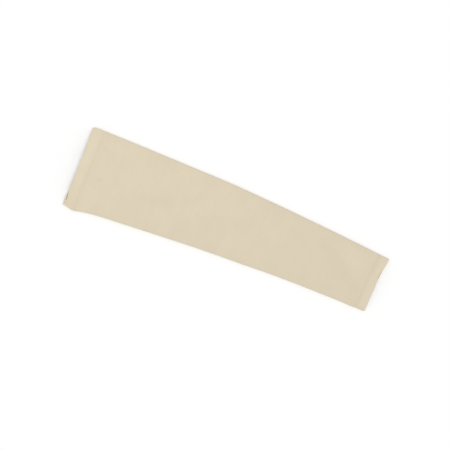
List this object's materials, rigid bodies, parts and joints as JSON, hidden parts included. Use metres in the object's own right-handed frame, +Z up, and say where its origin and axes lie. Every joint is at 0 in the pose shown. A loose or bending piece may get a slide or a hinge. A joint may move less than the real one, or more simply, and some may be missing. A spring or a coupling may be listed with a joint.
{
  "type": "arm cooling sleeve",
  "caption": "Tapered cooling sleeve for the arm, lying flat: a hollow tube of thin knitted cloth, open at both ends, with a stitched hem at the upper arm and at the wrist.",
  "frame": {"origin": "on the surface that the sleeve lies on, under the middle of its outline", "axes": "+X along the sleeve from the upper arm to the wrist, +Y across it from the sewn edge to the folded edge, +Z up"},
  "size_m": [0.4056, 0.107, 0.0092],
  "materials": {
    "knit_cloth": "fine smooth stretch knit, soft sheen",
    "hem_cloth": "the same knit turned in double and stitched",
    "sewing_thread": "twisted sewing thread, matte"
  },
  "bodies": {
    "root": {"sleeve_tube": "knit_cloth", "upper_arm_hem": "hem_cloth", "wrist_hem": "hem_cloth"}
  },
  "joints": []
}
